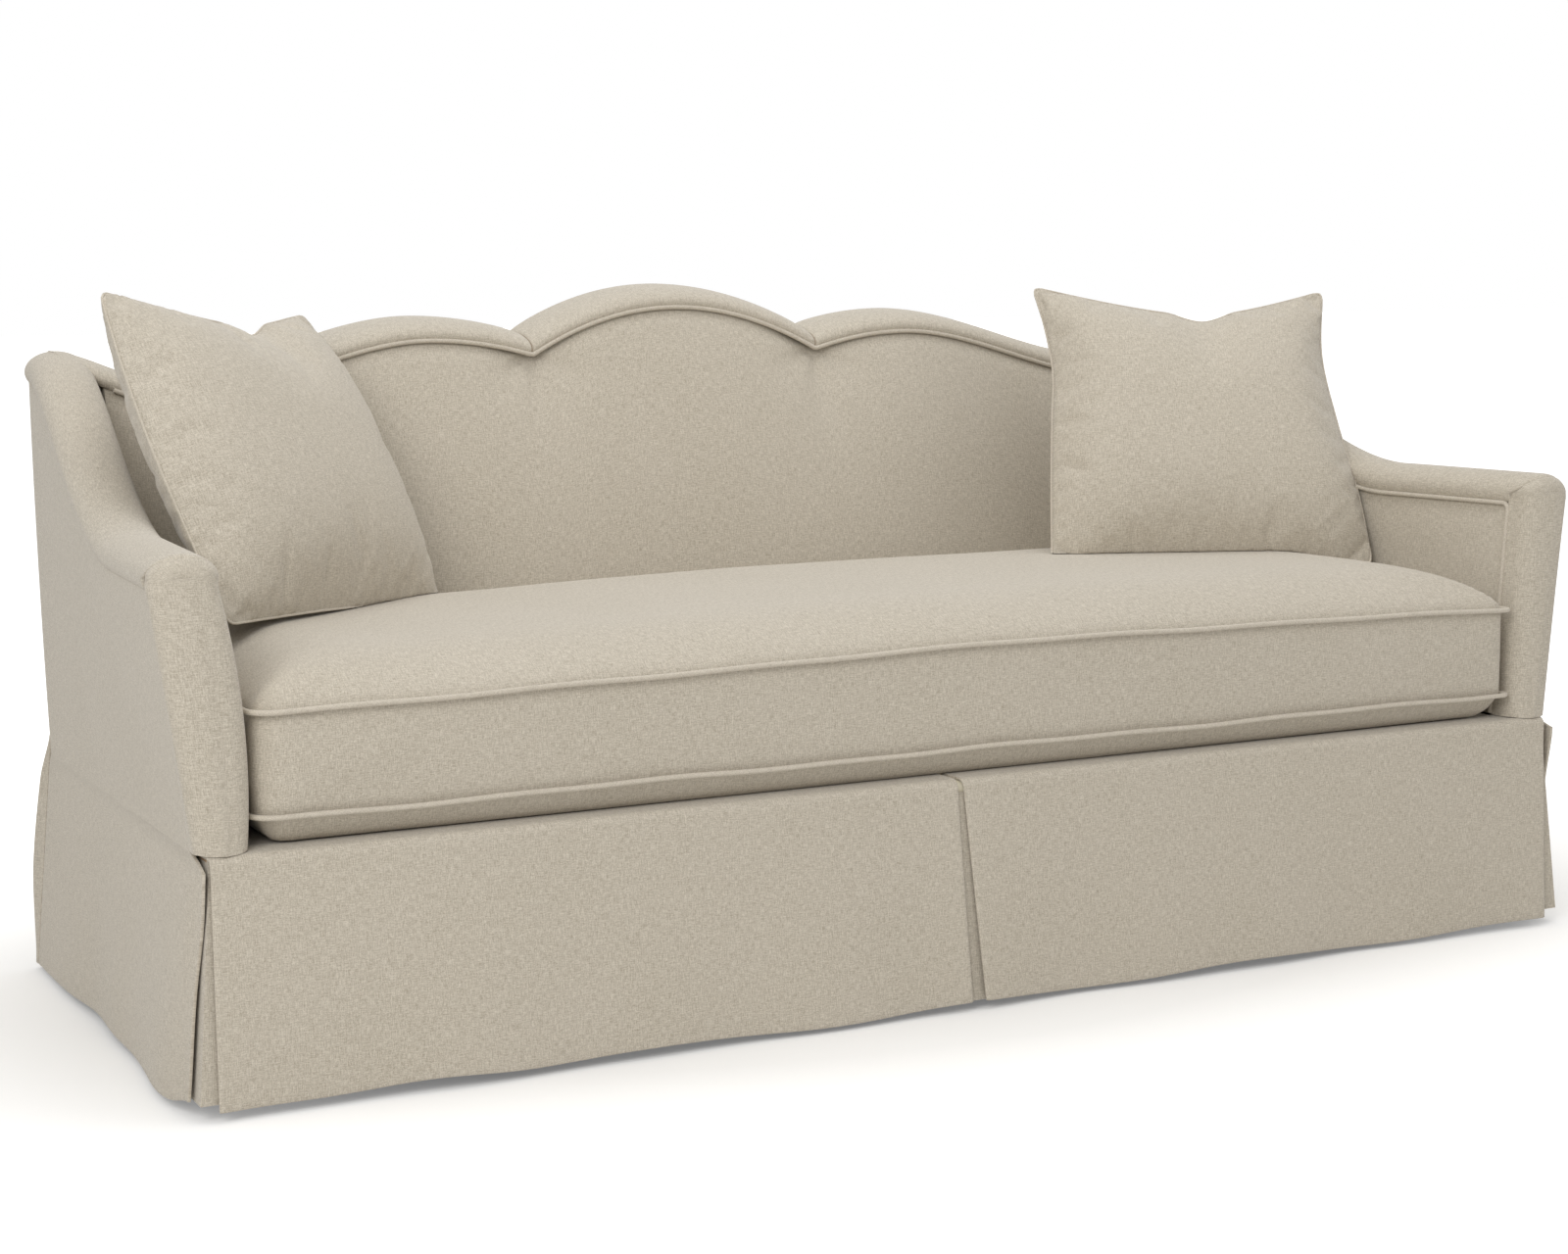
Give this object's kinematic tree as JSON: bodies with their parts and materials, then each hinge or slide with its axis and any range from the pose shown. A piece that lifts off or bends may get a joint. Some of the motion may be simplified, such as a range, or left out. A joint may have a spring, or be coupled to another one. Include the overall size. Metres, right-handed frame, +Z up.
{
  "type": "sofa",
  "caption": "Upholstered sofa with a scalloped, rolled back, sloping set-back arms, one loose bench cushion, two loose throw pillows and a kick-pleated skirt to the floor.",
  "frame": {"origin": "middle of the sofa on the floor, under the centre of its bounding box", "axes": "+X to the sofa's left hand side as it is sat on, which is the right of the picture, +Y to the back, +Z up"},
  "size_m": [2.1356, 0.9476, 0.9548],
  "materials": {
    "linen": "matte oatmeal linen weave with slubs",
    "linen_welt": "the same linen on the bias over cord",
    "frame_wood": "sawn hardwood",
    "leg_wood": "dark stained satin",
    "steel": "zinc plated",
    "spring_steel": "oil tempered wire",
    "nylon": "moulded",
    "webbing": "elastic woven webbing",
    "felt": "needled felt",
    "fibre_pad": "polyester wadding",
    "deck_cloth": "plain woven deck cloth",
    "cambric": "thin spun cloth",
    "foam": "foam wrapped in fibre",
    "feather_fill": "down proof ticking, feather filled",
    "zipper_tape": "woven tape",
    "zipper_metal": "antique brass"
  },
  "bodies": {
    "frame": {"arm_facing_right": "linen", "arm_facing_left": "linen", "arm_roll_right": "linen", "arm_roll_left": "linen", "inside_arm_right": "linen", "inside_arm_left": "linen", "outside_arm_right": "linen", "outside_arm_left": "linen", "back_border_roll": "linen", "inside_back": "linen", "outside_back": "linen", "front_edge_roll": "linen", "skirt_front_left": "linen", "skirt_front_right": "linen", "skirt_centre_pleat": "linen", "skirt_corner_pleats": "linen", "skirt_back": "linen", "arm_welt_right": "linen_welt", "arm_welt_left": "linen_welt", "back_welt": "linen_welt", "arm_post_right": "frame_wood", "arm_post_left": "frame_wood", "arm_top_rail_right": "frame_wood", "arm_top_rail_left": "frame_wood", "arm_tack_rails": "frame_wood", "back_post_right": "frame_wood", "back_post_left": "frame_wood", "back_top_rail": "frame_wood", "back_tack_rail": "frame_wood", "back_uprights": "frame_wood", "front_rail": "frame_wood", "back_rail": "frame_wood", "side_rail_right": "frame_wood", "side_rail_left": "frame_wood", "corner_blocks": "frame_wood", "seat_stretchers": "frame_wood", "leg_front_left": "leg_wood", "leg_back_left": "leg_wood", "leg_front_right": "leg_wood", "leg_back_right": "leg_wood", "legs_centre": "leg_wood", "leg_bolts": "steel", "leg_glides": "nylon", "back_webbing": "webbing", "seat_springs": "spring_steel", "spring_clips": "steel", "spring_insulator": "felt", "deck_pad": "fibre_pad", "deck_cover": "deck_cloth", "dust_cover": "cambric"},
    "seat_cushion": {"cushion_cover": "linen", "cushion_core": "foam", "cushion_top_welt": "linen_welt", "cushion_bottom_welt": "linen_welt", "cushion_zipper": "zipper_tape"},
    "zipper_slider_body": {"zipper_slider": "zipper_metal"},
    "pillow_left": {"pillow_left_cover": "linen", "pillow_left_insert": "feather_fill"},
    "pillow_right": {"pillow_right_cover": "linen", "pillow_right_insert": "feather_fill"}
  },
  "joints": [
    {"name": "seat_cushion_lift", "type": "slide", "parent": "frame", "child": "seat_cushion", "axis": [0, 0, 1], "range_m": [0, 0.15]},
    {"name": "pillow_left_lift", "type": "slide", "parent": "seat_cushion", "child": "pillow_left", "axis": [0, 0, 1], "range_m": [0, 0.2]},
    {"name": "pillow_right_lift", "type": "slide", "parent": "seat_cushion", "child": "pillow_right", "axis": [0, 0, 1], "range_m": [0, 0.2]},
    {"name": "zipper_slide", "type": "slide", "parent": "seat_cushion", "child": "zipper_slider_body", "axis": [1, 0, 0], "range_m": [0, 1.38]}
  ]
}
